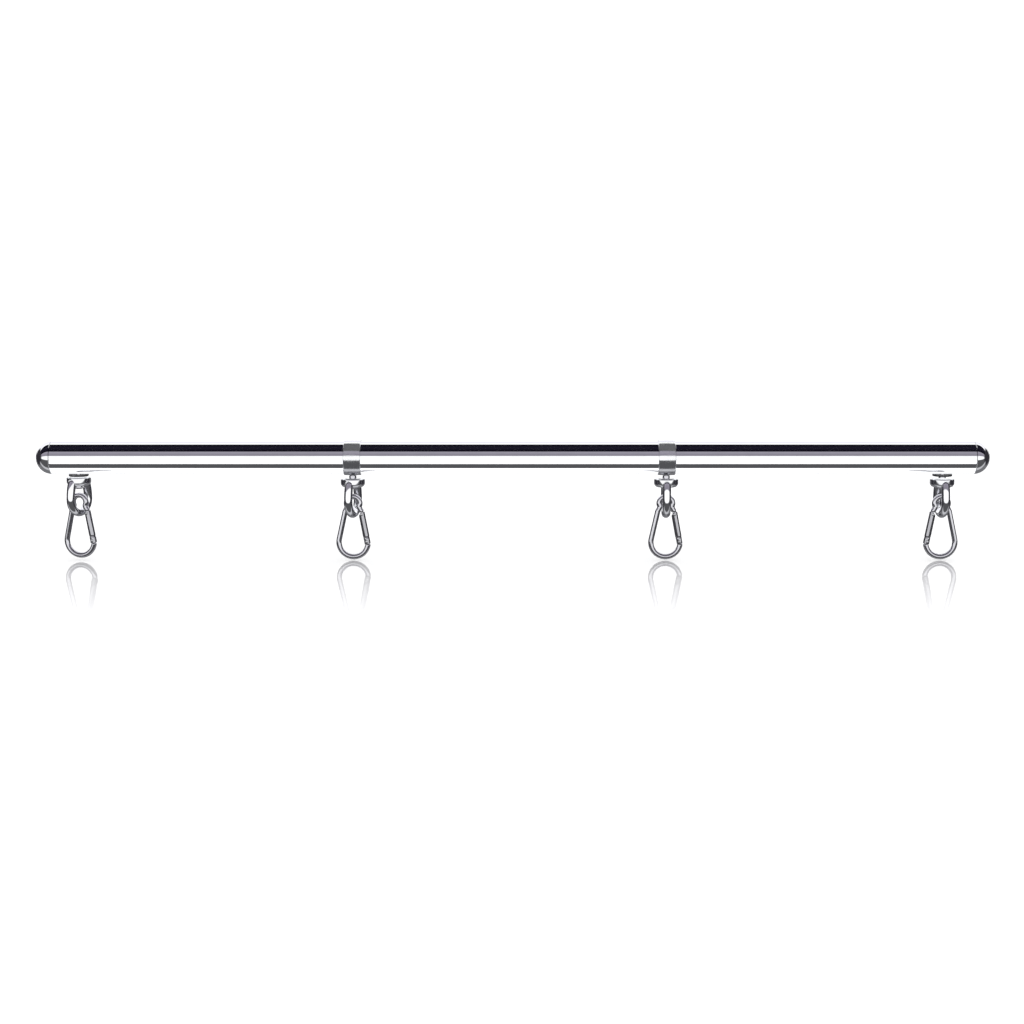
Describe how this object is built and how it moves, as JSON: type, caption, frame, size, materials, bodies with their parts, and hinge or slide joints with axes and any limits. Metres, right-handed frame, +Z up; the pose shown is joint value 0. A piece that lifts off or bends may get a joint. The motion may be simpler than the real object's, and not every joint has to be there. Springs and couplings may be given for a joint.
{
  "type": "spreader bar",
  "caption": "Chrome tubular spreader bar with domed ends, fixed and sliding swivel eyes below it, each with a spring snap hook.",
  "frame": {"origin": "the tube's axis at mid-length", "axes": "+X along the bar to the right end, +Y away from the viewer, +Z up"},
  "size_m": [0.726, 0.0272, 0.092],
  "materials": {
    "chrome": "polished chrome plate",
    "plated": "bright nickel-plated wire and pressings",
    "steel": "plain bright steel",
    "black": "blackened steel"
  },
  "bodies": {
    "bar": {"bar_tube": "chrome", "left_end_cap": "chrome", "right_end_cap": "chrome", "left_end_washer": "black", "right_end_washer": "black", "left_end_rivet": "plated", "right_end_rivet": "plated"},
    "left_collar": {"left_collar_band": "chrome", "left_collar_rivet": "plated"},
    "right_collar": {"right_collar_band": "chrome", "right_collar_rivet": "plated"},
    "left_end_eye": {"left_end_swivel_eye": "chrome"},
    "left_end_hook": {"left_end_hook_body": "plated"},
    "left_end_gate": {"left_end_hook_gate": "plated", "left_end_gate_rivet": "steel", "left_end_latch_pin": "steel", "left_end_gate_plunger": "steel", "left_end_gate_spring": "steel"},
    "left_collar_eye": {"left_collar_swivel_eye": "chrome"},
    "left_collar_hook": {"left_collar_hook_body": "plated"},
    "left_collar_gate": {"left_collar_hook_gate": "plated", "left_collar_gate_rivet": "steel", "left_collar_latch_pin": "steel", "left_collar_gate_plunger": "steel", "left_collar_gate_spring": "steel"},
    "right_collar_eye": {"right_collar_swivel_eye": "chrome"},
    "right_collar_hook": {"right_collar_hook_body": "plated"},
    "right_collar_gate": {"right_collar_hook_gate": "plated", "right_collar_gate_rivet": "steel", "right_collar_latch_pin": "steel", "right_collar_gate_plunger": "steel", "right_collar_gate_spring": "steel"},
    "right_end_eye": {"right_end_swivel_eye": "chrome"},
    "right_end_hook": {"right_end_hook_body": "plated"},
    "right_end_gate": {"right_end_hook_gate": "plated", "right_end_gate_rivet": "steel", "right_end_latch_pin": "steel", "right_end_gate_plunger": "steel", "right_end_gate_spring": "steel"}
  },
  "joints": [
    {"name": "left_collar_slide", "type": "slide", "parent": "bar", "child": "left_collar", "axis": [1, 0, 0], "range_m": [-0.175, 0.205]},
    {"name": "right_collar_slide", "type": "slide", "parent": "bar", "child": "right_collar", "axis": [-1, 0, 0], "range_m": [-0.18, 0.205]},
    {"name": "left_end_swivel", "type": "hinge", "parent": "bar", "child": "left_end_eye", "pos_m": [-0.331, 0, -0.0173], "axis": [0, 0, 1], "continuous": true},
    {"name": "left_end_swing", "type": "hinge", "parent": "left_end_eye", "child": "left_end_hook", "pos_m": [-0.331, 0, -0.04205], "axis": [-0.5, -0.866, 0], "range_deg": [-65, 65]},
    {"name": "left_end_gate_hinge", "type": "hinge", "parent": "left_end_hook", "child": "left_end_gate", "pos_m": [-0.32459, -0.0016, -0.04242], "axis": [0.2419, 0.9703, 0], "range_deg": [0, 28], "stiffness_Nm_per_rad": 0.05, "springref_deg": -34.38},
    {"name": "left_collar_swivel", "type": "hinge", "parent": "left_collar", "child": "left_collar_eye", "pos_m": [-0.122, 0, -0.0185], "axis": [0, 0, 1], "continuous": true},
    {"name": "left_collar_swing", "type": "hinge", "parent": "left_collar_eye", "child": "left_collar_hook", "pos_m": [-0.122, 0, -0.04325], "axis": [0.309, 0.9511, 0], "range_deg": [-65, 65]},
    {"name": "left_collar_gate_hinge", "type": "hinge", "parent": "left_collar_hook", "child": "left_collar_gate", "pos_m": [-0.1154, -0.00035, -0.04362], "axis": [0.0523, 0.9986, 0], "range_deg": [0, 28], "stiffness_Nm_per_rad": 0.05, "springref_deg": -34.38},
    {"name": "right_collar_swivel", "type": "hinge", "parent": "right_collar", "child": "right_collar_eye", "pos_m": [0.117, 0, -0.0185], "axis": [0, 0, 1], "continuous": true},
    {"name": "right_collar_swing", "type": "hinge", "parent": "right_collar_eye", "child": "right_collar_hook", "pos_m": [0.117, 0, -0.04325], "axis": [0, -1, 0], "range_deg": [-65, 65]},
    {"name": "right_collar_gate_hinge", "type": "hinge", "parent": "right_collar_hook", "child": "right_collar_gate", "pos_m": [0.12361, 0, -0.04362], "axis": [0, 1, 0], "range_deg": [0, 28], "stiffness_Nm_per_rad": 0.05, "springref_deg": -34.38},
    {"name": "right_end_swivel", "type": "hinge", "parent": "bar", "child": "right_end_eye", "pos_m": [0.3275, 0, -0.0185], "axis": [0, 0, 1], "continuous": true},
    {"name": "right_end_swing", "type": "hinge", "parent": "right_end_eye", "child": "right_end_hook", "pos_m": [0.3275, 0, -0.04325], "axis": [-0.1392, 0.9903, 0], "range_deg": [-65, 65]},
    {"name": "right_end_gate_hinge", "type": "hinge", "parent": "right_end_hook", "child": "right_end_gate", "pos_m": [0.32089, 0, -0.04362], "axis": [0, -1, 0], "range_deg": [0, 28], "stiffness_Nm_per_rad": 0.05, "springref_deg": -34.38}
  ]
}
